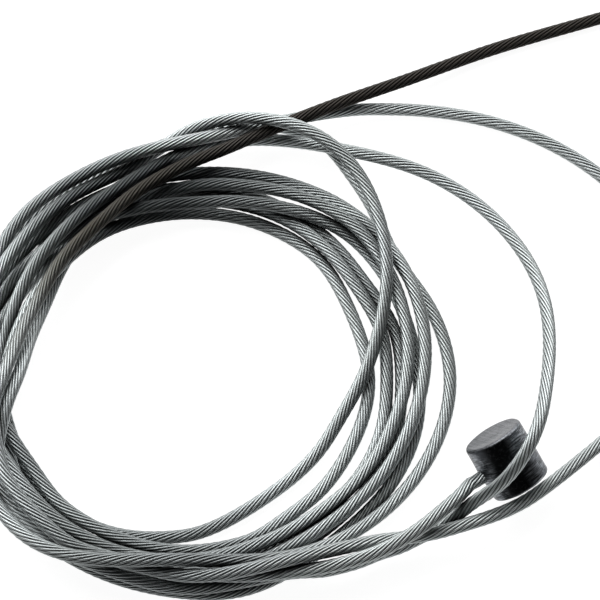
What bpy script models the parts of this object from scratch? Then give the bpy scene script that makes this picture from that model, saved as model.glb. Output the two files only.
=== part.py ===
"""Inner brake cable of a bicycle: a steel strand with a barrel nipple, lying coiled on a table.

The strand leaves the nipple and runs eleven times round the hank, clockwise as seen from above,
then its free end runs off to the right. Units are metres, and +Z is up.
"""
import math

import bmesh
import bpy
import numpy as np
from mathutils import Vector

MM = 0.001

# Strand of nineteen wires in one twist: its full diameter, and how far it reaches into the nipple
STRAND_DIAMETER = 1.5 * MM
STRAND_PAST_NIPPLE_CENTRE = 1.0 * MM

# Barrel nipple, cast in zinc round the end of the strand
NIPPLE_DIAMETER = 6.7 * MM
NIPPLE_LENGTH = 6.6 * MM
NIPPLE_RIM_ROUND = 0.35 * MM
NIPPLE_SIDES = 48
BORE_CLEARANCE = 0.2 * MM

# Place of the nipple: its axis points to the raised end, and the strand leaves its side
NIPPLE_PLACE = (22.55 * MM, -20.35 * MM)
NIPPLE_AXIS = Vector((-0.51, 0.69, 0.51)).normalized()
NIPPLE_EXIT = Vector((-0.76, -0.65, 0.0))

# Laying of the turns
STATION_UNIT = 1.0 * MM
LEAD_STRAIGHT = 0.8 * MM
TURN_CLEARANCE = 0.12 * MM
NIPPLE_CLEARANCE = 0.2 * MM
SAMPLE_STEP = 1.0 * MM
TUBE_STEP = 3.8 * MM
HELD_LENGTH = 6.0 * MM
NEIGHBOUR_SAMPLES = 12
PRESS_ROUNDS = 200
SETTLE_ROUNDS = 120
SINK = 0.02 * MM
BUMP_REACH = 14
BUMP_WIDTH = 4.5

# Places are read on a plane 1.5 mm above the table, looking from this eye point
EYE = np.array([0.0, -110.9 * MM, 250.6 * MM])
SEEN_HEIGHT = 1.5 * MM
FINE_STEP = 0.3 * MM
HANK_CENTRE = np.array([-12.4 * MM, -9.8 * MM])

# The turns, from the nipple to the free end. Each station is the angle round the hank's centre
# in degrees, clockwise from +X, the distance from that centre in station units, and the layer
# of strands that it lies in, 0 being on the table.
TURNS = (
    ((24.2, 33.4, 2.6), (28.4, 32.4, 3), (34.3, 31.1, 3.1), (39.7, 29.9, 3), (43.5, 29.1, 2.6),
     (47.8, 28.1, 2.1), (52, 27.2, 1.7), (56.4, 26.3, 1.4), (60, 25.6, 1.2), (75, 23.7, 1.2),
     (90, 22.6, 1.6), (105, 22.4, 1.8), (120, 23, 1.4), (135, 23.4, 1.2), (150, 23.4, 1),
     (180, 23, 0.5), (210, 23, 0.5), (240, 22.6, 0.5), (270, 22, 1), (285, 22.8, 1),
     (300, 24.1, 0.6), (315, 25.4, 0.2), (330, 25.5, 0), (345, 25.3, 0)),
    ((0, 25.6, 0), (15, 25.9, 0), (30, 25.3, 0), (45, 24.6, 0), (60, 24.7, 0), (75, 25.1, 0),
     (90, 24.5, 0), (105, 24, 0), (120, 23.9, 0), (150, 24.4, 0), (180, 24.6, 0), (210, 24.9, 0),
     (240, 25.2, 0.3), (270, 25.9, 0.7), (300, 27.2, 1), (330, 27.8, 0.8)),
    ((0, 26.2, 1), (30, 23.8, 1), (60, 22.4, 1), (75, 22.5, 1), (90, 22.6, 1), (105, 23.1, 1),
     (120, 23.3, 1), (150, 23.3, 0.6), (165, 23.8, 1), (180, 25, 1), (195, 26.2, 0.8), (210, 27, 0),
     (240, 27.6, 0), (255, 28.8, 0), (270, 31, 0), (285, 33.6, 0), (298, 33.5, 0), (304, 32, 0),
     (310, 30.6, 0), (317, 29.1, 0), (323, 28, 0), (332, 27.7, 0), (341, 28.4, 0)),
    ((0, 29.2, 0), (30, 27.1, 0), (60, 23.7, 1), (75, 22.1, 1.8), (90, 21.4, 2.3), (105, 22, 3),
     (120, 23.8, 3.2), (135, 25.3, 2.8), (150, 25.3, 2), (165, 24.8, 2), (180, 24.6, 2),
     (195, 25.2, 1.6), (210, 25.7, 1), (225, 26.2, 0.8), (240, 26.7, 0.6), (255, 27.6, 0.8),
     (270, 31.7, 1.2), (285, 34, 2.2), (300, 33.5, 2.6), (315, 30, 2), (330, 25.8, 2),
     (345, 22, 2)),
    ((0, 19.3, 1.3), (15, 17.5, 0.4), (30, 16.8, 0), (60, 16.4, 0), (75, 17.2, 0), (90, 18.6, 0),
     (105, 19.9, 0), (112, 20.4, 0), (120, 20.8, 0), (135, 21, 0), (150, 21, 0.3), (165, 21.2, 0.6),
     (180, 21.7, 1), (210, 22.5, 1), (225, 23.2, 1), (240, 24.3, 1), (255, 26, 1), (270, 29.1, 0.8),
     (285, 31.5, 0.3), (300, 33.7, 0), (315, 37.2, 0), (330, 40.15, 0), (345, 41.35, 0.6)),
    ((0, 40, 2.2), (8, 38.9, 3.8), (15, 37.4, 4.9), (20, 36, 5.2), (24, 34.6, 3.2), (28.7, 33.5, 0.6),
     (32.5, 32.7, 0), (36.4, 31.6, 0), (40.5, 30.6, 0), (44.3, 29.4, 0), (48.5, 28.5, 0),
     (52.7, 27.6, 0), (57, 26.7, 0), (60, 25.9, 0), (75, 24.2, 1), (90, 23.8, 1.6), (105, 22.9, 1.8),
     (120, 23, 1.8), (135, 23.6, 1.8), (150, 23.9, 1.8), (158, 22.9, 1.8), (166, 21.6, 1.8),
     (174, 20.4, 1.8), (180, 19.6, 2), (195, 19, 1), (210, 19.1, 0.5), (225, 20.5, 0.5),
     (240, 22.2, 0.5), (255, 23.2, 0.5), (270, 24.3, 0.8), (285, 25.1, 1), (300, 26, 1),
     (315, 26.7, 1), (330, 26.2, 1)),
    ((0, 24.3, 1.2), (15, 23.3, 1.2), (30, 22.6, 1.2), (45, 21.7, 1.1), (60, 21.2, 1), (75, 21.1, 1),
     (90, 21.3, 1.1), (105, 21.6, 1.2), (120, 22, 1.6), (135, 22.3, 1.9), (150, 22.4, 2.1),
     (180, 22.6, 1), (210, 22.6, 0.5), (240, 22.6, 0), (270, 22.5, 0), (300, 22.4, 0.2),
     (315, 22.1, 0.3), (330, 22, 0.5), (345, 22.5, 0.4)),
    ((0, 22.5, 0.3), (15, 22.8, 0), (30, 22.6, 0), (45, 22.1, 0), (60, 21.8, 0), (75, 21.7, 0),
     (90, 21.6, 0), (105, 21.4, 0), (120, 21.8, 0), (150, 22.2, 0), (180, 21.8, 0), (210, 22.4, 0),
     (240, 24, 0), (270, 24, 0), (300, 23.6, 0), (315, 23.3, 0), (330, 23.1, 0), (345, 23.9, 0)),
    ((0, 23.6, 0), (30, 23.4, 0), (60, 23, 0), (75, 23.3, 0), (90, 23, 0), (105, 22.6, 0.1),
     (120, 22.9, 0.4), (150, 23, 0.7), (165, 22, 1), (180, 21.2, 1), (210, 20.9, 1), (225, 21, 1),
     (240, 21.4, 0.8), (255, 21.3, 0.4), (270, 21.1, 0), (285, 21.2, 0), (300, 21.3, 0.4),
     (315, 21.2, 0.3), (330, 20.4, 0), (345, 20, 0)),
    ((0, 20.1, 0), (30, 19.7, 0), (45, 19.8, 0), (60, 20, 0), (68, 20.4, 0), (75, 20.5, 0),
     (90, 20.6, 0.2), (105, 20.5, 0.8), (120, 20.4, 1), (135, 20.5, 1), (150, 20.9, 1.2),
     (180, 23.4, 2), (210, 26.6, 1), (225, 28.1, 1), (240, 28.5, 1.3), (255, 29.2, 1.9),
     (270, 30.3, 1.5), (285, 33.3, 0.4), (300, 39.4, 0), (315, 46.9, 0), (330, 53.3, 0),
     (345, 56.2, 0)),
    ((0, 52.6, 0), (9.4, 46.3, 0), (14.5, 43.1, 0), (19, 40.5, 0), (24, 37.4, 0.6), (29.4, 34.2, 1.4),
     (33, 32.4, 1.6), (36.3, 30.7, 2.1), (40, 28.9, 2.2), (45.5, 27, 2.2), (50, 25.9, 2.2),
     (60, 24.1, 2.2), (75, 23, 2.3), (90, 22.6, 3), (105, 22.2, 2.6), (120, 23, 2.4), (135, 23, 2.4),
     (150, 23, 2.5), (158, 22.6, 2.8), (166, 22.2, 2.6), (174, 21.6, 2.2), (180, 20.8, 2),
     (195, 20, 2), (210, 20, 2), (225, 21, 2), (240, 22.1, 2.2), (255, 24.4, 2.3), (270, 27.6, 2.2),
     (278, 29.9, 1.7), (286.1, 33.3, 1.1), (291, 36, 0.7), (296.5, 39.8, 0.3), (302.5, 45.1, 0.1),
     (309, 54, 0), (316, 67.4, 0), (318.2, 73.5, 0)),
)

STEEL = {"color": (0.60, 0.61, 0.58, 1.0), "roughness": 0.38, "metallic": 0.9}
ZINC = {"color": (0.20, 0.20, 0.21, 1.0), "roughness": 0.55, "metallic": 0.8}


def clear_scene():
    for thing in list(bpy.data.objects):
        bpy.data.objects.remove(thing, do_unlink=True)


def new_collection(name):
    collection = bpy.data.collections.new(name)
    bpy.context.scene.collection.children.link(collection)
    return collection


def new_material(name, look):
    material = bpy.data.materials.new(name)
    material.use_nodes = True
    shader = material.node_tree.nodes["Principled BSDF"]
    shader.inputs["Base Color"].default_value = look["color"]
    shader.inputs["Roughness"].default_value = look["roughness"]
    shader.inputs["Metallic"].default_value = look["metallic"]
    material.diffuse_color = look["color"]
    return material


def nipple_centre():
    """The middle of the nipple when its lower rim rests on the table."""
    rise = NIPPLE_AXIS.z
    level = math.sqrt(1.0 - rise * rise)
    inner_length = NIPPLE_LENGTH / 2 - NIPPLE_RIM_ROUND
    inner_radius = NIPPLE_DIAMETER / 2 - NIPPLE_RIM_ROUND
    height = inner_length * rise + inner_radius * level + NIPPLE_RIM_ROUND
    return Vector((*NIPPLE_PLACE, height))


def nipple_exit():
    """Direction of the strand out of the nipple's side, square to the nipple's axis."""
    return (NIPPLE_EXIT - NIPPLE_EXIT.dot(NIPPLE_AXIS) * NIPPLE_AXIS).normalized()


def smooth_curve(knots, values, places):
    """Natural cubic spline through the values at the knots, read at the places."""
    count = len(knots)
    step = np.diff(knots)
    system = np.eye(count)
    right = np.zeros((count, values.shape[1]))
    for row in range(1, count - 1):
        system[row, row - 1:row + 2] = (step[row - 1], 2 * (step[row - 1] + step[row]), step[row])
        right[row] = 6 * ((values[row + 1] - values[row]) / step[row]
                          - (values[row] - values[row - 1]) / step[row - 1])
    bend = np.linalg.solve(system, right)
    left = np.clip(np.searchsorted(knots, places) - 1, 0, count - 2)
    span = step[left][:, None]
    after = (places - knots[left])[:, None] / span
    before = 1 - after
    return (before * values[left] + after * values[left + 1]
            + ((before ** 3 - before) * bend[left] + (after ** 3 - after) * bend[left + 1])
            * span ** 2 / 6)


def drop_to(seen, height):
    """Places at the given heights that cover the places seen on the reference plane."""
    part = ((height - SEEN_HEIGHT) / (EYE[2] - SEEN_HEIGHT))[:, None]
    return seen + part * (EYE[:2] - seen)


def lead_stations():
    """First stations: the strand inside the nipple and just outside its wall."""
    centre = np.array(nipple_centre())
    out = np.array(nipple_exit())
    wall = NIPPLE_DIAMETER / 2
    rows = []
    for far in (-STRAND_PAST_NIPPLE_CENTRE, wall / 2, wall + LEAD_STRAIGHT):
        spot = centre + far * out
        part = (spot[2] - SEEN_HEIGHT) / (EYE[2] - SEEN_HEIGHT)
        seen = (spot[:2] - part * EYE[:2]) / (1 - part)
        rows.append((*seen, spot[2]))
    return rows


def seen_route():
    """Evenly spaced samples: place seen on the reference plane, wanted height, way along."""
    rows = lead_stations()
    for turn in TURNS:
        for angle, radius, layer in turn:
            around = math.radians(angle)
            rows.append((HANK_CENTRE[0] + radius * STATION_UNIT * math.cos(around),
                         HANK_CENTRE[1] - radius * STATION_UNIT * math.sin(around),
                         STRAND_DIAMETER * (0.5 + layer)))
    rows = np.array(rows)
    reach = np.hypot(np.diff(rows[:, 0]), np.diff(rows[:, 1]))
    knots = np.concatenate([[0], np.cumsum(reach)])
    fine = np.linspace(0, knots[-1], int(knots[-1] / FINE_STEP))
    curve = smooth_curve(knots, rows[:, :2], fine)
    travel = np.concatenate([[0], np.cumsum(np.hypot(*np.diff(curve, axis=0).T))])
    along = np.linspace(0, travel[-1], int(round(travel[-1] / SAMPLE_STEP)) + 1)
    seen = np.column_stack([np.interp(along, travel, curve[:, 0]), np.interp(along, travel, curve[:, 1])])
    height = np.interp(np.interp(along, travel, fine), knots, rows[:, 2])
    return along, seen, height


def soften(values, times):
    """Run a three-point average along the samples."""
    for _ in range(times):
        values[1:-1] = 0.5 * values[1:-1] + 0.25 * (values[:-2] + values[2:])


def turn_pushes(point, first, second, order, lean):
    """Pushes that part the samples lying closer than a strand, and how many act on each."""
    count = len(point)
    apart = STRAND_DIAMETER + TURN_CLEARANCE
    gap = point[first] - point[second]
    size = np.linalg.norm(gap, axis=1)
    hit = size < apart
    upper, lower = first[hit], second[hit]
    way = gap[hit] / np.maximum(size[hit], 1e-9)[:, None]
    way[:, 2] += lean * order[hit]
    way /= np.linalg.norm(way, axis=1)[:, None]
    push = 0.5 * (apart - size[hit])[:, None] * way
    total = np.stack([np.bincount(upper, push[:, k], count) - np.bincount(lower, push[:, k], count)
                      for k in range(3)], axis=1)
    weight = np.bincount(upper, minlength=count) + np.bincount(lower, minlength=count)
    return total / np.sqrt(np.maximum(weight, 1))[:, None], weight > 0


def nipple_pushes(point, along):
    """Pushes that lift the strand clear of the nipple where it crosses over it."""
    axis = np.array(NIPPLE_AXIS)
    out = point - np.array(nipple_centre())
    way_along = out @ axis
    radial = out - way_along[:, None] * axis
    size = np.linalg.norm(radial, axis=1)
    need = NIPPLE_DIAMETER / 2 + STRAND_DIAMETER / 2 + NIPPLE_CLEARANCE - size
    struck = (np.abs(way_along) < NIPPLE_LENGTH / 2 + NIPPLE_CLEARANCE) & (need > 0)
    struck &= along > 5 * HELD_LENGTH
    return np.where(struck[:, None], radial / size[:, None] * need[:, None], 0.0), struck


def lay(along, seen, height):
    """Let the turns sink on each other: each stays where it is seen, and none enters another."""
    point = np.column_stack([drop_to(seen, height), height])
    held = along < HELD_LENGTH
    start = point[held].copy()
    first, second = np.triu_indices(len(along), NEIGHBOUR_SAMPLES)
    near = np.hypot(*(seen[first] - seen[second]).T) < 3 * (STRAND_DIAMETER + TURN_CLEARANCE)
    first, second = first[near], second[near]
    order = np.clip(2 * (height[first] - height[second]) / STRAND_DIAMETER, -1, 1)
    bump = np.exp(-0.5 * (np.arange(-BUMP_REACH, BUMP_REACH + 1) / BUMP_WIDTH) ** 2)
    for turn in range(PRESS_ROUNDS + SETTLE_ROUNDS):
        pressing = turn < PRESS_ROUNDS
        if pressing:
            aim = drop_to(seen, point[:, 2])
            off = point[:, :2] - aim
            soften(off, 4)
            point[:, :2] = aim + 0.8 * off
            point[:, 2] -= SINK
            soften(point[:, 2], 8)
        for _ in range(2):
            total, busy = turn_pushes(point, first, second, order, 0.4 if pressing else 0.1)
            lift, struck = nipple_pushes(point, along)
            total += lift
            share = np.maximum(1, np.convolve((busy | struck).astype(float), bump, mode="same"))
            for k in range(3):
                point[:, k] += 1.2 * np.convolve(total[:, k], bump, mode="same") / share
            point[:, 2] = np.maximum(point[:, 2], STRAND_DIAMETER / 2)
            point[held] = start
    return point


def strand_route():
    """Points along the middle of the strand, one every tube step."""
    point = lay(*seen_route())
    travel = np.concatenate([[0], np.cumsum(np.linalg.norm(np.diff(point, axis=0), axis=1))])
    places = np.linspace(0, travel[-1], int(round(travel[-1] / TUBE_STEP)) + 1)
    return np.column_stack([np.interp(places, travel, point[:, k]) for k in range(3)])


def make_strand(collection, parent):
    points = strand_route()
    curve = bpy.data.curves.new("cable_strand", "CURVE")
    curve.dimensions = "3D"
    curve.bevel_depth = STRAND_DIAMETER / 2
    curve.bevel_resolution = 2
    curve.use_fill_caps = True
    spline = curve.splines.new("POLY")
    spline.points.add(len(points) - 1)
    spline.points.foreach_set("co", np.column_stack([points, np.ones(len(points))]).ravel())
    spline.use_smooth = True
    strand = bpy.data.objects.new("cable_strand", curve)
    curve.materials.append(new_material("galvanised_steel", STEEL))
    collection.objects.link(strand)
    strand.parent = parent
    return strand


def make_cylinder(name, collection, radius, depth, sides):
    mesh = bpy.data.meshes.new(name)
    shape = bmesh.new()
    bmesh.ops.create_cone(shape, cap_ends=True, segments=sides, radius1=radius, radius2=radius,
                          depth=depth)
    shape.to_mesh(mesh)
    shape.free()
    thing = bpy.data.objects.new(name, mesh)
    collection.objects.link(thing)
    return thing


def make_nipple(collection, cutters, parent):
    nipple = make_cylinder("barrel_nipple", collection, NIPPLE_DIAMETER / 2, NIPPLE_LENGTH,
                           NIPPLE_SIDES)
    nipple.data.materials.append(new_material("cast_zinc", ZINC))
    nipple.data.shade_smooth()
    nipple.location = nipple_centre()
    nipple.rotation_euler = NIPPLE_AXIS.to_track_quat("Z", "X").to_euler()
    nipple.parent = parent

    rounding = nipple.modifiers.new("rim_rounding", "BEVEL")
    rounding.width = NIPPLE_RIM_ROUND
    rounding.segments = 3
    rounding.limit_method = "ANGLE"

    bore_start = -(STRAND_PAST_NIPPLE_CENTRE + BORE_CLEARANCE)
    bore_end = NIPPLE_DIAMETER
    bore = make_cylinder("strand_bore", cutters, STRAND_DIAMETER / 2 + BORE_CLEARANCE,
                         bore_end - bore_start, 24)
    bore.location = nipple_centre() + nipple_exit() * (bore_start + bore_end) / 2
    bore.rotation_euler = nipple_exit().to_track_quat("Z", "X").to_euler()
    bore.parent = parent
    bore.display_type = "WIRE"
    bore.hide_render = True

    cut = nipple.modifiers.new("strand_bore", "BOOLEAN")
    cut.operation = "DIFFERENCE"
    cut.solver = "EXACT"
    cut.object = bore
    return nipple


def centre_on_origin(holder, parts):
    """Move the holder so that the parts' box stands on the origin."""
    bpy.context.view_layer.update()
    depsgraph = bpy.context.evaluated_depsgraph_get()
    corners = []
    for part in parts:
        evaluated = part.evaluated_get(depsgraph)
        mesh = evaluated.to_mesh()
        corners += [part.matrix_world @ vertex.co for vertex in mesh.vertices]
        evaluated.to_mesh_clear()
    low = Vector([min(corner[k] for corner in corners) for k in range(3)])
    high = Vector([max(corner[k] for corner in corners) for k in range(3)])
    holder.location = (-(low.x + high.x) / 2, -(low.y + high.y) / 2, -low.z)


def main():
    clear_scene()
    parts = new_collection("inner_cable")
    cutters = new_collection("cutters")
    cutters.hide_render = True
    holder = bpy.data.objects.new("inner_cable", None)
    parts.objects.link(holder)
    strand = make_strand(parts, holder)
    nipple = make_nipple(parts, cutters, holder)
    centre_on_origin(holder, (strand, nipple))


main()
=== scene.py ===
"""Inner brake cable of a bicycle, coiled on a pale table: its finished surfaces, light and camera.

The strand of nineteen wires leaves the barrel nipple, runs eleven times round the hank, clockwise
as seen from above, and its sooty free end runs off to the right. Units are metres, and +Z is up.
"""

import math

import bpy
import numpy as np
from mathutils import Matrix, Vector


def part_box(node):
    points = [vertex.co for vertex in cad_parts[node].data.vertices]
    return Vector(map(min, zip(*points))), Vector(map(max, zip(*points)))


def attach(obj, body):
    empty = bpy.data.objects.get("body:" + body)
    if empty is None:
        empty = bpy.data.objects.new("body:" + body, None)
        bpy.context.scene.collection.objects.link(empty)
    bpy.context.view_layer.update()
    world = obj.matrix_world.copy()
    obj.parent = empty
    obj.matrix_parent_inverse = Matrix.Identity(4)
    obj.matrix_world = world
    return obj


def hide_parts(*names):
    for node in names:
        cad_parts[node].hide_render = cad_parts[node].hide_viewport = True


MM = 0.001

# Strand of nineteen wires in one twist: its full diameter, and how far it reaches into the nipple
STRAND_DIAMETER = 1.5 * MM
STRAND_PAST_NIPPLE_CENTRE = 1.0 * MM

# Barrel nipple, cast in zinc round the end of the strand
NIPPLE_DIAMETER = 6.7 * MM
NIPPLE_LENGTH = 6.6 * MM
NIPPLE_RIM_ROUND = 0.35 * MM

# Place of the nipple: its axis points to the raised end, and the strand leaves its side
NIPPLE_PLACE = (22.55 * MM, -20.35 * MM)
NIPPLE_AXIS = Vector((-0.51, 0.69, 0.51)).normalized()
NIPPLE_EXIT = Vector((-0.76, -0.65, 0.0))

# Stations and samples of the route: the straight lead out of the nipple, the gaps that are kept,
# the length that is held at the nipple, how far on a crossing over it can come, how many samples
# off a neighbour begins, and within how many strands' widths it is tried
STATION_UNIT = 1.0 * MM
LEAD_STRAIGHT = 0.8 * MM
TURN_CLEARANCE = 0.12 * MM
NIPPLE_CLEARANCE = 0.2 * MM
SAMPLE_STEP = 1.0 * MM
HELD_LENGTH = 6.0 * MM
CROSSING_START = 5 * HELD_LENGTH
NEIGHBOUR_SAMPLES = 12
NEAR_STRANDS = 3

# Rounds of the laying: in each pressing round the strand sinks, its shift aside and its height
# are softened so many times, and so much of the shift is kept. Pushes are shared out over a bump
# of samples, and lean upwards by the order of the layers.
PRESS_ROUNDS = 200
SETTLE_ROUNDS = 120
SINK = 0.02 * MM
SHIFT_SOFTENING = 4
SHIFT_KEPT = 0.8
HEIGHT_SOFTENING = 8
PUSH_TRIES = 2
PUSH_STRENGTH = 1.2
PRESS_LEAN = 0.4
SETTLE_LEAN = 0.1
BUMP_REACH = 14
BUMP_WIDTH = 4.5

# Places are read on a plane 1.5 mm above the table, looking from this eye point, in fine steps
# along the curve, and as angles and distances round the hank's centre
EYE = np.array([0.0, -110.9 * MM, 250.6 * MM])
SEEN_HEIGHT = 1.5 * MM
FINE_STEP = 0.3 * MM
HANK_CENTRE = np.array([-12.4 * MM, -9.8 * MM])

# The turns, from the nipple to the free end. Each station is the angle round the hank's centre
# in degrees, clockwise from +X, the distance from that centre in station units, and the layer
# of strands that it lies in, 0 being on the table.
TURNS = (
    ((24.2, 33.4, 2.6), (28.4, 32.4, 3), (34.3, 31.1, 3.1), (39.7, 29.9, 3), (43.5, 29.1, 2.6),
     (47.8, 28.1, 2.1), (52, 27.2, 1.7), (56.4, 26.3, 1.4), (60, 25.6, 1.2), (75, 23.7, 1.2),
     (90, 22.6, 1.6), (105, 22.4, 1.8), (120, 23, 1.4), (135, 23.4, 1.2), (150, 23.4, 1),
     (180, 23, 0.5), (210, 23, 0.5), (240, 22.6, 0.5), (270, 22, 1), (285, 22.8, 1),
     (300, 24.1, 0.6), (315, 25.4, 0.2), (330, 25.5, 0), (345, 25.3, 0)),
    ((0, 25.6, 0), (15, 25.9, 0), (30, 25.3, 0), (45, 24.6, 0), (60, 24.7, 0), (75, 25.1, 0),
     (90, 24.5, 0), (105, 24, 0), (120, 23.9, 0), (150, 24.4, 0), (180, 24.6, 0), (210, 24.9, 0),
     (240, 25.2, 0.3), (270, 25.9, 0.7), (300, 27.2, 1), (330, 27.8, 0.8)),
    ((0, 26.2, 1), (30, 23.8, 1), (60, 22.4, 1), (75, 22.5, 1), (90, 22.6, 1), (105, 23.1, 1),
     (120, 23.3, 1), (150, 23.3, 0.6), (165, 23.8, 1), (180, 25, 1), (195, 26.2, 0.8), (210, 27, 0),
     (240, 27.6, 0), (255, 28.8, 0), (270, 31, 0), (285, 33.6, 0), (298, 33.5, 0), (304, 32, 0),
     (310, 30.6, 0), (317, 29.1, 0), (323, 28, 0), (332, 27.7, 0), (341, 28.4, 0)),
    ((0, 29.2, 0), (30, 27.1, 0), (60, 23.7, 1), (75, 22.1, 1.8), (90, 21.4, 2.3), (105, 22, 3),
     (120, 23.8, 3.2), (135, 25.3, 2.8), (150, 25.3, 2), (165, 24.8, 2), (180, 24.6, 2),
     (195, 25.2, 1.6), (210, 25.7, 1), (225, 26.2, 0.8), (240, 26.7, 0.6), (255, 27.6, 0.8),
     (270, 31.7, 1.2), (285, 34, 2.2), (300, 33.5, 2.6), (315, 30, 2), (330, 25.8, 2),
     (345, 22, 2)),
    ((0, 19.3, 1.3), (15, 17.5, 0.4), (30, 16.8, 0), (60, 16.4, 0), (75, 17.2, 0), (90, 18.6, 0),
     (105, 19.9, 0), (112, 20.4, 0), (120, 20.8, 0), (135, 21, 0), (150, 21, 0.3), (165, 21.2, 0.6),
     (180, 21.7, 1), (210, 22.5, 1), (225, 23.2, 1), (240, 24.3, 1), (255, 26, 1), (270, 29.1, 0.8),
     (285, 31.5, 0.3), (300, 33.7, 0), (315, 37.2, 0), (330, 40.15, 0), (345, 41.35, 0.6)),
    ((0, 40, 2.2), (8, 38.9, 3.8), (15, 37.4, 4.9), (20, 36, 5.2), (24, 34.6, 3.2), (28.7, 33.5, 0.6),
     (32.5, 32.7, 0), (36.4, 31.6, 0), (40.5, 30.6, 0), (44.3, 29.4, 0), (48.5, 28.5, 0),
     (52.7, 27.6, 0), (57, 26.7, 0), (60, 25.9, 0), (75, 24.2, 1), (90, 23.8, 1.6), (105, 22.9, 1.8),
     (120, 23, 1.8), (135, 23.6, 1.8), (150, 23.9, 1.8), (158, 22.9, 1.8), (166, 21.6, 1.8),
     (174, 20.4, 1.8), (180, 19.6, 2), (195, 19, 1), (210, 19.1, 0.5), (225, 20.5, 0.5),
     (240, 22.2, 0.5), (255, 23.2, 0.5), (270, 24.3, 0.8), (285, 25.1, 1), (300, 26, 1),
     (315, 26.7, 1), (330, 26.2, 1)),
    ((0, 24.3, 1.2), (15, 23.3, 1.2), (30, 22.6, 1.2), (45, 21.7, 1.1), (60, 21.2, 1), (75, 21.1, 1),
     (90, 21.3, 1.1), (105, 21.6, 1.2), (120, 22, 1.6), (135, 22.3, 1.9), (150, 22.4, 2.1),
     (180, 22.6, 1), (210, 22.6, 0.5), (240, 22.6, 0), (270, 22.5, 0), (300, 22.4, 0.2),
     (315, 22.1, 0.3), (330, 22, 0.5), (345, 22.5, 0.4)),
    ((0, 22.5, 0.3), (15, 22.8, 0), (30, 22.6, 0), (45, 22.1, 0), (60, 21.8, 0), (75, 21.7, 0),
     (90, 21.6, 0), (105, 21.4, 0), (120, 21.8, 0), (150, 22.2, 0), (180, 21.8, 0), (210, 22.4, 0),
     (240, 24, 0), (270, 24, 0), (300, 23.6, 0), (315, 23.3, 0), (330, 23.1, 0), (345, 23.9, 0)),
    ((0, 23.6, 0), (30, 23.4, 0), (60, 23, 0), (75, 23.3, 0), (90, 23, 0), (105, 22.6, 0.1),
     (120, 22.9, 0.4), (150, 23, 0.7), (165, 22, 1), (180, 21.2, 1), (210, 20.9, 1), (225, 21, 1),
     (240, 21.4, 0.8), (255, 21.3, 0.4), (270, 21.1, 0), (285, 21.2, 0), (300, 21.3, 0.4),
     (315, 21.2, 0.3), (330, 20.4, 0), (345, 20, 0)),
    ((0, 20.1, 0), (30, 19.7, 0), (45, 19.8, 0), (60, 20, 0), (68, 20.4, 0), (75, 20.5, 0),
     (90, 20.6, 0.2), (105, 20.5, 0.8), (120, 20.4, 1), (135, 20.5, 1), (150, 20.9, 1.2),
     (180, 23.4, 2), (210, 26.6, 1), (225, 28.1, 1), (240, 28.5, 1.3), (255, 29.2, 1.9),
     (270, 30.3, 1.5), (285, 33.3, 0.4), (300, 39.4, 0), (315, 46.9, 0), (330, 53.3, 0),
     (345, 56.2, 0)),
    ((0, 52.6, 0), (9.4, 46.3, 0), (14.5, 43.1, 0), (19, 40.5, 0), (24, 37.4, 0.6), (29.4, 34.2, 1.4),
     (33, 32.4, 1.6), (36.3, 30.7, 2.1), (40, 28.9, 2.2), (45.5, 27, 2.2), (50, 25.9, 2.2),
     (60, 24.1, 2.2), (75, 23, 2.3), (90, 22.6, 3), (105, 22.2, 2.6), (120, 23, 2.4), (135, 23, 2.4),
     (150, 23, 2.5), (158, 22.6, 2.8), (166, 22.2, 2.6), (174, 21.6, 2.2), (180, 20.8, 2),
     (195, 20, 2), (210, 20, 2), (225, 21, 2), (240, 22.1, 2.2), (255, 24.4, 2.3), (270, 27.6, 2.2),
     (278, 29.9, 1.7), (286.1, 33.3, 1.1), (291, 36, 0.7), (296.5, 39.8, 0.3), (302.5, 45.1, 0.1),
     (309, 54, 0), (316, 67.4, 0), (318.2, 73.5, 0)),
)

# Wires of the strand's outer layer, their lay, and the angles from a wire's middle, in degrees, at
# which the mesh has its columns
OUTER_WIRES = 12
WIRE_RADIUS = 0.15 * MM
WIRE_CIRCLE = 0.6 * MM
LAY_LENGTH = 12.8 * MM
COLUMNS_OF_WIRE = (-9.0, 0.0, 9.0, 15.0)
RINGS = 2000

# Fused tip of the free end: how far its radius closes, and how much of the grooves' depth and
# painted shade is lost in it
TIP_LENGTH = 0.5 * MM
TIP_CLOSING = 0.8
FUSED_LENGTH = 3.0 * MM
FUSED_DEPTH_LOSS = 0.8
FUSED_DARK_LOSS = 0.6

# Soot and brown stain along the strand, as turns made round the hank and amount
SOOT = ((0, 0.0), (10.45, 0.0), (10.55, 0.25), (10.62, 0.45), (10.70, 0.75), (10.76, 0.95),
        (10.8, 1.0), (11, 1.0))
BROWN = ((0, 0.05), (10.45, 0.05), (10.55, 0.5), (10.7, 0.8), (10.8, 0.4), (11, 0.2))

# Painted shade in the nips between passes, darkening each pass where another lies close: how far
# from another pass's middle it starts and is full, and how far along the strand a pass counts as
# another one
NIP_SHADE_START = 1.35 * MM
NIP_SHADE_FULL = 0.85 * MM
OTHER_PASS = 8 * STRAND_DIAMETER

# Dirt and painted shade, darkening the inner passes at the front and back of the hank, as degrees
# clockwise round its centre and amount, how far from the centre it ends, and over what distance it
# fades out
DIRT_AND_SHADE = ((0, 0.0), (50, 0.0), (80, 0.45), (112, 0.45), (135, 0.0), (205, 0.0), (238, 0.85),
        (265, 0.95), (290, 0.6), (312, 0.0), (360, 0.0))
DIRT_AND_SHADE_END = 28.5 * MM
DIRT_AND_SHADE_FADE = 1.5 * MM
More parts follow.
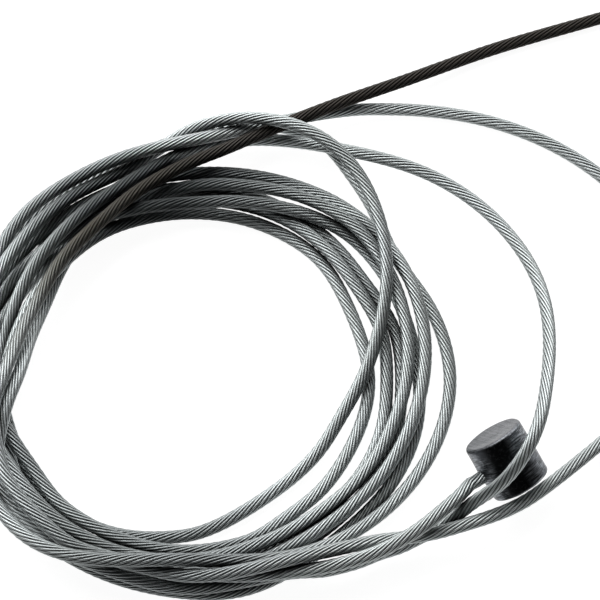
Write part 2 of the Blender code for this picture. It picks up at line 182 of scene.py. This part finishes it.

# Colours of the strand: bare wire, its patches, painted shade in its grooves, and what lies on them:
# dirt with painted shade, painted shade in the nips between passes, brown stain and soot
WIRE_DIM = (0.54, 0.585, 0.592, 1.0)
WIRE_BRIGHT = (0.82, 0.865, 0.87, 1.0)
WIRE_PATCH = (0.62, 0.665, 0.66, 1.0)
GROOVE_SHADE_COLOUR = (0.030, 0.033, 0.033, 1.0)
DIRT_AND_SHADE_COLOUR = (0.022, 0.025, 0.027, 1.0)
NIP_SHADE_COLOUR = (0.008, 0.009, 0.009, 1.0)
BROWN_COLOUR = (0.080, 0.072, 0.052, 1.0)
SOOT_COLOUR = (0.060, 0.054, 0.048, 1.0)
SOOT_SHADED_IN_GROOVE = (0.004, 0.004, 0.004, 1.0)

# Mesh of the nipple: columns round it, and rings on the flat of each end, on each rim and on the side
NIPPLE_COLUMNS = 120
FLAT_RINGS = 14
RIM_RINGS = 6
SIDE_RINGS = 24

# Casting of the nipple: its dished ends, the waves of its dents with their wave numbers in radians
# per metre, and the collar where the strand leaves
NIPPLE_DISH = 0.12 * MM
NIPPLE_DENT = 0.10 * MM
DENT_WAVES = 28
DENT_WAVE_NUMBERS = (900, 4200)
COLLAR_REACH = 1.3 * MM
COLLAR_RISE = 0.16 * MM

# Painted shade on the nipple's side, a dark band standing in for dark reflections, as degrees round
# its axis from the strand's exit and amount
NIPPLE_SHADE = ((0, 0.15), (28, 0.3), (46, 1.0), (82, 1.0), (98, 0.25), (120, 0.0), (150, 0.1),
                (360, 0.15))

# Colours of the nipple: its side under the scratches and on them, its blotches, painted shade, ends
# and specks
ZINC_DIM = (0.05, 0.055, 0.06, 1.0)
ZINC_SCRATCH = (0.48, 0.51, 0.55, 1.0)
ZINC_BLOTCH = (0.16, 0.17, 0.19, 1.0)
ZINC_PAINTED_SHADE = (0.010, 0.011, 0.012, 1.0)
ZINC_END_DIM = (0.10, 0.105, 0.115, 1.0)
ZINC_END_BRIGHT = (0.22, 0.225, 0.24, 1.0)
ZINC_SPECK = (0.06, 0.06, 0.065, 1.0)

# Camera, in millimetres of lens and film
LENS = 144.0
FILM_WIDTH = 36.0

# Two large soft lamps behind the hank, a faint sky, and the pale table with its glow for the camera
KEY_PLACE = (0.05, 0.40, 0.24)
KEY_SIZE = 0.6
KEY_POWER = 2.3
FILL_PLACE = (-0.20, 0.24, 0.32)
FILL_SIZE = 0.40
FILL_POWER = 1.7
SKY = 0.06
WHITE = (1.0, 1.0, 1.0, 1.0)
FLOOR_SIZE = 1.2
FLOOR_COLOUR = (0.22, 0.22, 0.22, 1.0)
FLOOR_GLOW = 0.95


def nipple_centre():
    """The middle of the nipple when its lower rim rests on the table."""
    rise = NIPPLE_AXIS.z
    level = math.sqrt(1.0 - rise * rise)
    inner_length = NIPPLE_LENGTH / 2 - NIPPLE_RIM_ROUND
    inner_radius = NIPPLE_DIAMETER / 2 - NIPPLE_RIM_ROUND
    height = inner_length * rise + inner_radius * level + NIPPLE_RIM_ROUND
    return Vector((*NIPPLE_PLACE, height))


def nipple_exit():
    """Direction of the strand out of the nipple's side, square to the nipple's axis."""
    return (NIPPLE_EXIT - NIPPLE_EXIT.dot(NIPPLE_AXIS) * NIPPLE_AXIS).normalized()


def smooth_curve(knots, values, places):
    """Natural cubic spline through the values at the knots, read at the places."""
    count = len(knots)
    step = np.diff(knots)
    system = np.eye(count)
    right = np.zeros((count, values.shape[1]))
    for row in range(1, count - 1):
        system[row, row - 1:row + 2] = (step[row - 1], 2 * (step[row - 1] + step[row]), step[row])
        right[row] = 6 * ((values[row + 1] - values[row]) / step[row]
                          - (values[row] - values[row - 1]) / step[row - 1])
    bend = np.linalg.solve(system, right)
    left = np.clip(np.searchsorted(knots, places) - 1, 0, count - 2)
    span = step[left][:, None]
    after = (places - knots[left])[:, None] / span
    before = 1 - after
    return (before * values[left] + after * values[left + 1]
            + ((before ** 3 - before) * bend[left] + (after ** 3 - after) * bend[left + 1])
            * span ** 2 / 6)


def drop_to(seen, height):
    """Places at the given heights that cover the places seen on the reference plane."""
    part = ((height - SEEN_HEIGHT) / (EYE[2] - SEEN_HEIGHT))[:, None]
    return seen + part * (EYE[:2] - seen)


def lead_stations():
    """First stations: the strand inside the nipple and just outside its wall."""
    centre = np.array(nipple_centre())
    out = np.array(nipple_exit())
    wall = NIPPLE_DIAMETER / 2
    rows = []
    for far in (-STRAND_PAST_NIPPLE_CENTRE, wall / 2, wall + LEAD_STRAIGHT):
        spot = centre + far * out
        part = (spot[2] - SEEN_HEIGHT) / (EYE[2] - SEEN_HEIGHT)
        seen = (spot[:2] - part * EYE[:2]) / (1 - part)
        rows.append((*seen, spot[2]))
    return rows


def seen_route():
    """Evenly spaced samples: place seen on the reference plane, wanted height, way along."""
    rows = lead_stations()
    for turn in TURNS:
        for angle, radius, layer in turn:
            around = math.radians(angle)
            rows.append((HANK_CENTRE[0] + radius * STATION_UNIT * math.cos(around),
                         HANK_CENTRE[1] - radius * STATION_UNIT * math.sin(around),
                         STRAND_DIAMETER * (0.5 + layer)))
    rows = np.array(rows)
    reach = np.hypot(np.diff(rows[:, 0]), np.diff(rows[:, 1]))
    knots = np.concatenate([[0], np.cumsum(reach)])
    fine = np.linspace(0, knots[-1], int(knots[-1] / FINE_STEP))
    curve = smooth_curve(knots, rows[:, :2], fine)
    travel = np.concatenate([[0], np.cumsum(np.hypot(*np.diff(curve, axis=0).T))])
    along = np.linspace(0, travel[-1], int(round(travel[-1] / SAMPLE_STEP)) + 1)
    seen = np.column_stack([np.interp(along, travel, curve[:, k]) for k in (0, 1)])
    height = np.interp(np.interp(along, travel, fine), knots, rows[:, 2])
    return along, seen, height


def soften(values, times):
    """Run a three-point average along the samples."""
    for _ in range(times):
        values[1:-1] = 0.5 * values[1:-1] + 0.25 * (values[:-2] + values[2:])


def turn_pushes(point, first, second, order, lean):
    """Pushes that part the samples lying closer than a strand, and how many act on each."""
    count = len(point)
    apart = STRAND_DIAMETER + TURN_CLEARANCE
    gap = point[first] - point[second]
    size = np.linalg.norm(gap, axis=1)
    hit = size < apart
    upper, lower = first[hit], second[hit]
    way = gap[hit] / np.maximum(size[hit], 1e-9)[:, None]
    way[:, 2] += lean * order[hit]
    way /= np.linalg.norm(way, axis=1)[:, None]
    push = 0.5 * (apart - size[hit])[:, None] * way
    total = np.stack([np.bincount(upper, push[:, k], count) - np.bincount(lower, push[:, k], count)
                      for k in range(3)], axis=1)
    weight = np.bincount(upper, minlength=count) + np.bincount(lower, minlength=count)
    return total / np.sqrt(np.maximum(weight, 1))[:, None], weight > 0


def nipple_pushes(point, along):
    """Pushes that lift the strand clear of the nipple where it crosses over it."""
    axis = np.array(NIPPLE_AXIS)
    out = point - np.array(nipple_centre())
    way_along = out @ axis
    radial = out - way_along[:, None] * axis
    size = np.linalg.norm(radial, axis=1)
    need = NIPPLE_DIAMETER / 2 + STRAND_DIAMETER / 2 + NIPPLE_CLEARANCE - size
    struck = (np.abs(way_along) < NIPPLE_LENGTH / 2 + NIPPLE_CLEARANCE) & (need > 0)
    struck &= along > CROSSING_START
    return np.where(struck[:, None], radial / size[:, None] * need[:, None], 0.0), struck


def lay(along, seen, height):
    """Let the turns sink on each other: each stays where it is seen, and none enters another."""
    point = np.column_stack([drop_to(seen, height), height])
    held = along < HELD_LENGTH
    start = point[held].copy()
    first, second = np.triu_indices(len(along), NEIGHBOUR_SAMPLES)
    near = np.hypot(*(seen[first] - seen[second]).T) < NEAR_STRANDS * (STRAND_DIAMETER + TURN_CLEARANCE)
    first, second = first[near], second[near]
    order = np.clip(2 * (height[first] - height[second]) / STRAND_DIAMETER, -1, 1)
    bump = np.exp(-0.5 * (np.arange(-BUMP_REACH, BUMP_REACH + 1) / BUMP_WIDTH) ** 2)
    for turn in range(PRESS_ROUNDS + SETTLE_ROUNDS):
        pressing = turn < PRESS_ROUNDS
        if pressing:
            aim = drop_to(seen, point[:, 2])
            off = point[:, :2] - aim
            soften(off, SHIFT_SOFTENING)
            point[:, :2] = aim + SHIFT_KEPT * off
            point[:, 2] -= SINK
            soften(point[:, 2], HEIGHT_SOFTENING)
        lean = PRESS_LEAN if pressing else SETTLE_LEAN
        for _ in range(PUSH_TRIES):
            total, busy = turn_pushes(point, first, second, order, lean)
            lift, struck = nipple_pushes(point, along)
            total += lift
            share = np.maximum(1, np.convolve((busy | struck).astype(float), bump, mode="same"))
            for k in range(3):
                point[:, k] += PUSH_STRENGTH * np.convolve(total[:, k], bump, mode="same") / share
            point[:, 2] = np.maximum(point[:, 2], STRAND_DIAMETER / 2)
            point[held] = start
    return point


def row_shift():
    """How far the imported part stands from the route's own frame, read from the nipple's box."""
    low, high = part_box("barrel_nipple")
    return np.array((low + high) / 2) - np.array(nipple_centre())


def strand_line(shift):
    """Ring centres of the strand, evenly spaced on the smooth curve through the laid samples, and
    their way along it."""
    point = lay(*seen_route())
    travel = np.concatenate([[0], np.cumsum(np.linalg.norm(np.diff(point, axis=0), axis=1))])
    way = np.linspace(0, travel[-1], RINGS)
    return smooth_curve(travel, point, way) + shift, way


def turn_count(centre, shift):
    """Turns made round the hank's centre, clockwise, counted from +X at the nipple's own turn."""
    out = centre[:, :2] - shift[:2] - HANK_CENTRE
    angle = np.unwrap(np.arctan2(-out[:, 1], out[:, 0]))
    return angle / (2 * math.pi)


def strand_frame(centre):
    """Unit vectors along the strand, to its right side and upwards: right = along x Z and
    up = right x along."""
    along = np.gradient(centre, axis=0)
    along /= np.linalg.norm(along, axis=1)[:, None]
    right = np.cross(along, (0.0, 0.0, 1.0))
    right /= np.linalg.norm(right, axis=1)[:, None]
    return along, right, np.cross(right, along)


def strand_profile():
    """Round the strand: radius = c cos d + sqrt(w^2 - c^2 sin^2 d), the outer face of a wire of
    radius w whose middle lies c from the strand's, d being the angle from that wire. Returns the
    angle and radius of each column, and how deep in a groove it lies, from 0 to 1."""
    within = np.radians(COLUMNS_OF_WIRE)
    from_wire = np.tile(within, OUTER_WIRES)
    around = from_wire + np.repeat(np.arange(OUTER_WIRES), len(within)) * 2 * math.pi / OUTER_WIRES
    side = WIRE_CIRCLE * np.sin(from_wire)
    radius = WIRE_CIRCLE * np.cos(from_wire) + np.sqrt(np.maximum(WIRE_RADIUS ** 2 - side ** 2, 0))
    crest = WIRE_CIRCLE + WIRE_RADIUS
    return around, radius, (crest - radius) / (crest - radius.min())


def closed_tube_faces(rings, columns):
    """Quads of a tube that is closed round its columns, and a fan on each end, facing outwards."""
    ring, column = np.meshgrid(np.arange(rings - 1), np.arange(columns), indexing="ij")
    after = (column + 1) % columns
    quads = np.stack([ring * columns + column, (ring + 1) * columns + column,
                      (ring + 1) * columns + after, ring * columns + after], axis=-1).reshape(-1, 4)
    turn = np.arange(columns)
    first = np.stack([np.full(columns, rings * columns), turn, (turn + 1) % columns], axis=1)
    last_ring = (rings - 1) * columns
    last = np.stack([np.full(columns, rings * columns + 1), last_ring + (turn + 1) % columns,
                     last_ring + turn], axis=1)
    return quads, np.concatenate([first, last])


def corner_places(along, girth, columns):
    """Place in the pattern for each corner of that tube's quads: the way along it at each ring, and
    the way round it, which comes to the girth in one turn."""
    ring, column = np.meshgrid(np.arange(len(along) - 1), np.arange(columns), indexing="ij")
    corners = [np.stack([along[ring + k], (column + m) * (girth / columns)], axis=-1)
               for k, m in ((0, 0), (1, 0), (1, 1), (0, 1))]
    return np.stack(corners, axis=2).reshape(-1, 4, 2)


def link(name, data):
    """New object of the data, in the scene."""
    thing = bpy.data.objects.new(name, data)
    bpy.context.scene.collection.objects.link(thing)
    return thing


def put_mesh(name, points, quads, fans, places):
    """Write arrays of points, quads and triangles into a smooth mesh, with the places in the pattern
    of the quads' corners, and return its object."""
    mesh = bpy.data.meshes.new(name)
    mesh.vertices.add(len(points))
    mesh.vertices.foreach_set("co", points.ravel())
    corners = np.concatenate([quads.ravel(), fans.ravel()])
    sides = np.concatenate([np.full(len(quads), 4), np.full(len(fans), 3)])
    mesh.loops.add(len(corners))
    mesh.loops.foreach_set("vertex_index", corners)
    mesh.polygons.add(len(sides))
    mesh.polygons.foreach_set("loop_start", np.concatenate([[0], np.cumsum(sides)[:-1]]))
    layer = mesh.uv_layers.new(name="along_and_round")
    layer.data.foreach_set("uv", np.concatenate([places.ravel(), np.zeros(2 * fans.size)]))
    mesh.update(calc_edges=True)
    mesh.validate()
    mesh.shade_smooth()
    return link(name, mesh)


def add_measures(piece, shape, **measures):
    """Numbers for the piece's points, which its material reads, spread over the shape of its rings
    and columns. The middle of each end takes the number of a point beside it."""
    for name, values in measures.items():
        rows = np.broadcast_to(values, shape)
        layer = piece.data.attributes.new(name, "FLOAT", "POINT")
        numbers = np.concatenate([rows.ravel(), rows[0, :1], rows[-1, :1]])
        layer.data.foreach_set("value", numbers.astype(np.float32))


def amount_at(places, table):
    """Amounts at the places, on straight lines between the table's places and amounts."""
    return np.interp(places, *zip(*table))


def grime_in_nips(point, centre, along, way):
    """Painted shade in the nips, from 0 to 1, as a smooth step, where a point comes near another pass
    of
    the strand: 1 when it lies within the full-shade distance of that pass's middle line, measured
    square to it, and 0 from the start distance on."""
    apart = np.linalg.norm(centre[:, None] - centre[None], axis=2)
    other = np.abs(way[:, None] - way) > OTHER_PASS
    here, there = np.nonzero(other & (apart < NIP_SHADE_START + STRAND_DIAMETER / 2))
    off = point[here] - centre[there][:, None]
    line = along[there][:, None]
    off -= (off * line).sum(axis=2, keepdims=True) * line
    ring, first = np.unique(here, return_index=True)
    near = np.full(point.shape[:2], NIP_SHADE_START)
    near[ring] = np.minimum.reduceat(np.linalg.norm(off, axis=2), first, axis=0)
    part = np.clip((NIP_SHADE_START - near) / (NIP_SHADE_START - NIP_SHADE_FULL), 0, 1)
    return part * part * (3 - 2 * part)


def dirt_of_hank(centre, shift, turns):
    """Dirt and painted shade by the angle round the hank's centre, fading out where the strand comes
    near its end distance from the centre.
    """
    reach = np.linalg.norm(centre[:, :2] - shift[:2] - HANK_CENTRE, axis=1)
    return amount_at(turns % 1 * 360, DIRT_AND_SHADE) * np.clip((DIRT_AND_SHADE_END - reach) / DIRT_AND_SHADE_FADE, 0, 1)


def make_strand(centre, way, turns, dirt):
    """Tube with the profile of twelve laid wires: point = centre + radius (right cos a + up sin a),
    a being the column's angle plus one turn for each lay length travelled, so that a column stays
    on its own wire. The last rings close in a blunt fused tip, where the radius shrinks by
    sqrt(1 - (f t)^2), t going from 0 to 1 along the tip and f being TIP_CLOSING."""
    along, right, up = strand_frame(centre)
    around, radius, groove = strand_profile()
    angle = around + 2 * math.pi * way[:, None] / LAY_LENGTH
    left = way[-1] - way
    tip = np.clip(1 - left / TIP_LENGTH, 0, 1)
    shrink = np.sqrt(1 - (TIP_CLOSING * tip) ** 2)
    fused = np.clip(1 - (left - TIP_LENGTH) / FUSED_LENGTH, 0, 1)[:, None]
    mean = radius.mean()
    size = (mean + (radius - mean) * (1 - FUSED_DEPTH_LOSS * fused)) * shrink[:, None]
    point = (centre[:, None, :] + size[..., None] * (np.cos(angle)[..., None] * right[:, None, :]
                                                     + np.sin(angle)[..., None] * up[:, None, :]))
    rings, columns = angle.shape
    points = np.concatenate([point.reshape(-1, 3), centre[[0, -1]]])
    quads, fans = closed_tube_faces(rings, columns)
    places = corner_places(way / STRAND_DIAMETER, 1.0, columns)
    piece = put_mesh("brake_strand", points, quads, fans, places)
    # These measures paint shade: in the grooves, in the nips where passes touch, and with the dirt on
    # the inner passes
    add_measures(piece, angle.shape,
                 groove=groove * (1 - FUSED_DARK_LOSS * fused),
                 grime=grime_in_nips(point, centre, along, way),
                 dirt=dirt[:, None],
                 soot=amount_at(turns, SOOT)[:, None],
                 brown=amount_at(turns, BROWN)[:, None])
    return piece


def nipple_outline():
    """Half section of the nipple, from the middle of its low end to that of its high end, as
    distances along its axis and from it: ends dished by NIPPLE_DISH (1 - r^4), r being 1 where the
    rim starts, rims rounded as quarter circles, plain side."""
    half, wall, rim = NIPPLE_LENGTH / 2, NIPPLE_DIAMETER / 2, NIPPLE_RIM_ROUND
    flat = np.linspace(0.02, 1, FLAT_RINGS) * (wall - rim)
    dish = half - NIPPLE_DISH * (1 - (flat / (wall - rim)) ** 4)
    bend = np.linspace(0, math.pi / 2, RIM_RINGS + 1)[1:]
    corner_out = wall - rim + rim * np.sin(bend)
    corner_up = half - rim + rim * np.cos(bend)
    end_out, end_up = np.concatenate([flat, corner_out]), np.concatenate([dish, corner_up])
    side_up = np.linspace(-(half - rim), half - rim, SIDE_RINGS + 2)[1:-1]
    out = np.concatenate([end_out, np.full(len(side_up), wall), end_out[::-1]])
    up = np.concatenate([-end_up, side_up, end_up[::-1]])
    return up, out


def cast_dents(place):
    """Low random swells and dents of a die casting: a sum of sines in seeded directions."""
    draw = np.random.default_rng(7)
    way = draw.normal(size=(DENT_WAVES, 3))
    way *= (draw.uniform(*DENT_WAVE_NUMBERS, DENT_WAVES) / np.linalg.norm(way, axis=1))[:, None]
    phase = draw.uniform(0, 2 * math.pi, DENT_WAVES)
    return np.sin(place @ way.T + phase).mean(axis=-1)


def make_nipple(shift):
    """Turned solid: point = centre + up A + out (cos t U + sin t V) for the axis A and two vectors
    U and V square to it, U being the way in which the strand leaves. Dents and the collar then move
    each point to or from the centre. Its measures are 1 on the ends and 0 on the side, the painted
    shade of the side, and the distance in millimetres across the lines on the ends."""
    up, out = nipple_outline()
    axis = np.array(NIPPLE_AXIS)
    leave = np.array(nipple_exit())
    across = np.cross(axis, leave)
    centre = np.array(nipple_centre()) + shift
    turn = np.linspace(0, 2 * math.pi, NIPPLE_COLUMNS, endpoint=False)
    spoke = np.cos(turn)[:, None] * leave + np.sin(turn)[:, None] * across
    local = up[:, None, None] * axis + out[:, None, None] * spoke
    collar = np.exp(-((np.linalg.norm(local - NIPPLE_DIAMETER / 2 * leave, axis=-1)
                       / COLLAR_REACH) ** 2))
    swell = cast_dents(local) * NIPPLE_DENT + collar * COLLAR_RISE
    outwards = local / np.linalg.norm(local, axis=-1)[..., None]
    point = centre + local + swell[..., None] * outwards
    rings, columns = point.shape[:2]
    caps = centre + up[[0, -1]][:, None] * axis
    points = np.concatenate([point.reshape(-1, 3), caps])
    quads, fans = closed_tube_faces(rings, columns)
    places = corner_places(up / MM, math.pi * NIPPLE_DIAMETER / MM, columns)
    piece = put_mesh("zinc_nipple", points, quads[:, ::-1], fans[:, ::-1], places[:, ::-1, ::-1])
    add_measures(piece, (rings, columns),
                 end=np.clip(2 * (NIPPLE_DIAMETER / 2 - out) / NIPPLE_RIM_ROUND, 0, 1)[:, None],
                 shade=amount_at(np.degrees(turn), NIPPLE_SHADE),
                 lines=local @ np.cross(axis, (0.0, 0.0, 1.0)) / MM)
    return piece


class Nodes:
    """Short way to lay out a material: add a node, set its sockets, link others into it."""

    def __init__(self, name):
        self.material = bpy.data.materials.new(name)
        self.material.use_nodes = True
        self.tree = self.material.node_tree
        self.shader = self.tree.nodes["Principled BSDF"]

    def put(self, node, sockets):
        for key, value in sockets.items():
            if isinstance(value, bpy.types.NodeSocket):
                self.tree.links.new(value, node.inputs[key])
            else:
                node.inputs[key].default_value = value

    def add(self, kind, sockets=None, **settings):
        node = self.tree.nodes.new("ShaderNode" + kind)
        for key, value in settings.items():
            setattr(node, key, value)
        self.put(node, sockets or {})
        return node

    def maths(self, operation, first, second):
        return self.add("Math", {0: first, 1: second}, operation=operation).outputs[0]

    def mix(self, amount, first, second):
        return self.add("Mix", {0: amount, 6: first, 7: second}, data_type="RGBA").outputs[2]

    def measure(self, name):
        return self.add("Attribute", attribute_name=name).outputs["Fac"]

    def place(self):
        return self.add("TexCoord").outputs["Object"]

    def pattern(self, *stretch):
        """Place in the pattern that follows the piece's own surface, stretched by these factors."""
        uv = self.add("UVMap", uv_map="along_and_round").outputs["UV"]
        return self.add("Mapping", {"Vector": uv, "Scale": (*stretch, 1.0)}).outputs["Vector"]

    def noise(self, vector, scale, detail):
        return self.add("TexNoise", {"Vector": vector, "Scale": scale, "Detail": detail}).outputs["Fac"]

    def between(self, value, low, high):
        """The value's place between low and high, held from 0 to 1."""
        node = self.add("MapRange", {"Value": value, "From Min": low, "From Max": high})
        return node.outputs["Result"]

    def bump(self, height, strength, distance):
        node = self.add("Bump", {"Height": height, "Strength": strength, "Distance": distance})
        return node.outputs["Normal"]


def steel_material():
    """Galvanised wire: grey metal, streaked along each wire, with painted shade in the grooves and in
    the nips between passes, on which dirt with painted shade, brown stain and soot lie where the
    strand's own measures say so; the soot is painted darker in the grooves, as painted shade."""
    n = Nodes("galvanised_steel")
    streak = n.noise(n.pattern(0.9, 60.0), scale=1.0, detail=3.0)
    patch = n.noise(n.place(), scale=90.0, detail=3.0)
    groove = n.maths("POWER", n.measure("groove"), 0.6)
    grime = n.measure("grime")
    wire = n.mix(n.between(streak, 0.3, 0.7), WIRE_DIM, WIRE_BRIGHT)
    wire = n.mix(n.between(patch, 0.35, 0.7), wire, WIRE_PATCH)
    # Painted shade: the grooves between the wires are darkened in the colour
    wire = n.mix(groove, wire, GROOVE_SHADE_COLOUR)
    # Dirt and painted shade on the inner passes at the front and back of the hank
    wire = n.mix(n.measure("dirt"), wire, DIRT_AND_SHADE_COLOUR)
    # Painted shade where passes of the strand lie close together
    wire = n.mix(grime, wire, NIP_SHADE_COLOUR)
    brown = n.maths("MULTIPLY", n.measure("brown"), n.between(patch, 0.3, 0.6))
    wire = n.mix(brown, wire, BROWN_COLOUR)
    # Soot, painted darker in the grooves as painted shade
    wire = n.mix(n.measure("soot"), wire, n.mix(groove, SOOT_COLOUR, SOOT_SHADED_IN_GROOVE))
    rough = n.maths("ADD", n.maths("MULTIPLY", streak, 0.22), 0.33)
    rough = n.maths("ADD", rough, n.maths("MULTIPLY", grime, 0.15))
    n.put(n.shader, {"Base Color": wire, "Roughness": rough, "Metallic": 1.0,
                     "Normal": n.bump(streak, strength=0.15, distance=0.05 * MM)})
    return n.material


def zinc_material():
    """Die-cast zinc: pale scratches and blotches round the side, under painted shade, a dark band
    standing in for dark reflections, where the nipple's measure says so, ends with fine lines, and
    dark specks over all."""
    n = Nodes("cast_zinc")
    place = n.place()
    blotch = n.noise(place, scale=700.0, detail=4.0)
    grain = n.noise(place, scale=3800.0, detail=3.0)
    hatch = n.noise(n.pattern(0.8, 6.0), scale=1.0, detail=3.0)
    across = n.add("CombineXYZ", {"X": n.maths("MULTIPLY", n.measure("lines"), 5.0)})
    lines = n.noise(across.outputs["Vector"], scale=1.0, detail=3.0)
    side = n.mix(n.between(hatch, 0.42, 0.68), ZINC_DIM, ZINC_SCRATCH)
    side = n.mix(n.between(blotch, 0.45, 0.7), side, ZINC_BLOTCH)
    # Painted shade: a dark band standing in for dark reflections on the side
    side = n.mix(n.measure("shade"), side, ZINC_PAINTED_SHADE)
    ends = n.mix(n.between(lines, 0.35, 0.65), ZINC_END_DIM, ZINC_END_BRIGHT)
    skin = n.mix(n.measure("end"), side, ends)
    skin = n.mix(n.between(grain, 0.5, 0.8), skin, ZINC_SPECK)
    rough = n.maths("ADD", n.maths("MULTIPLY", blotch, 0.30), 0.20)
    n.put(n.shader, {"Base Color": skin, "Roughness": rough, "Metallic": 0.9,
                     "Normal": n.bump(grain, strength=0.35, distance=0.1 * MM)})
    return n.material


def floor_material():
    """Pale table, which glows for the camera and in reflections, so that it shows white."""
    n = Nodes("pale_table")
    rays = n.add("LightPath")
    seen = n.maths("MAXIMUM", rays.outputs["Is Camera Ray"], rays.outputs["Is Glossy Ray"])
    seen = n.maths("MAXIMUM", seen, rays.outputs["Is Transmission Ray"])
    glow = n.maths("MULTIPLY", seen, FLOOR_GLOW)
    n.put(n.shader, {"Base Color": FLOOR_COLOUR, "Roughness": 0.9, "Specular IOR Level": 0.0,
                     "Emission Color": WHITE, "Emission Strength": glow})
    return n.material


def make_floor():
    mesh = bpy.data.meshes.new("table_top")
    half = FLOOR_SIZE / 2
    mesh.from_pydata([(-half, -half, 0), (half, -half, 0), (half, half, 0), (-half, half, 0)], [],
                     [(0, 1, 2, 3)])
    mesh.materials.append(floor_material())
    link("table_top", mesh)


def aim(thing, place, target):
    """Stand a camera or lamp at the place, looking at the target."""
    thing.location = place
    thing.rotation_euler = (Vector(target) - Vector(place)).to_track_quat("-Z", "Y").to_euler()


def make_camera(shift):
    data = bpy.data.cameras.new("camera")
    data.lens = LENS
    data.sensor_width = FILM_WIDTH
    data.clip_start = 0.01
    data.clip_end = 10.0
    camera = link("camera", data)
    aim(camera, Vector(EYE + shift), Vector(shift) + Vector((0, 0, SEEN_HEIGHT)))
    bpy.context.scene.camera = camera


def make_lamp(name, place, size, power):
    data = bpy.data.lights.new(name, "AREA")
    data.size = size
    data.energy = power
    aim(link(name, data), place, (0, 0, 0))


def make_light():
    make_lamp("key", KEY_PLACE, KEY_SIZE, KEY_POWER)
    make_lamp("fill", FILL_PLACE, FILL_SIZE, FILL_POWER)
    world = bpy.data.worlds.new("studio")
    world.use_nodes = True
    background = world.node_tree.nodes["Background"]
    background.inputs["Color"].default_value = WHITE
    background.inputs["Strength"].default_value = SKY
    bpy.context.scene.world = world
    bpy.context.scene.view_settings.view_transform = "Standard"


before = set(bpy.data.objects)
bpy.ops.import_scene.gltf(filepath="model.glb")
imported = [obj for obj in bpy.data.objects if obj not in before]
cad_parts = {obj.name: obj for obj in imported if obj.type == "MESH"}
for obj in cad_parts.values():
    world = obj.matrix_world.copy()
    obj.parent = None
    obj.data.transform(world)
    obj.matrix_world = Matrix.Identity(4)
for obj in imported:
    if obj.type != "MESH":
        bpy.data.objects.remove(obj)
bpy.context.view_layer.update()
shift = row_shift()
make_camera(shift)

centre, way = strand_line(shift)
turns = turn_count(centre, shift)
strand = make_strand(centre, way, turns, dirt_of_hank(centre, shift, turns))
strand.data.materials.append(steel_material())
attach(strand, "root")
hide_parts("cable_strand")

nipple = make_nipple(shift)
nipple.data.materials.append(zinc_material())
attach(nipple, "root")
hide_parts("barrel_nipple")

make_floor()
make_light()
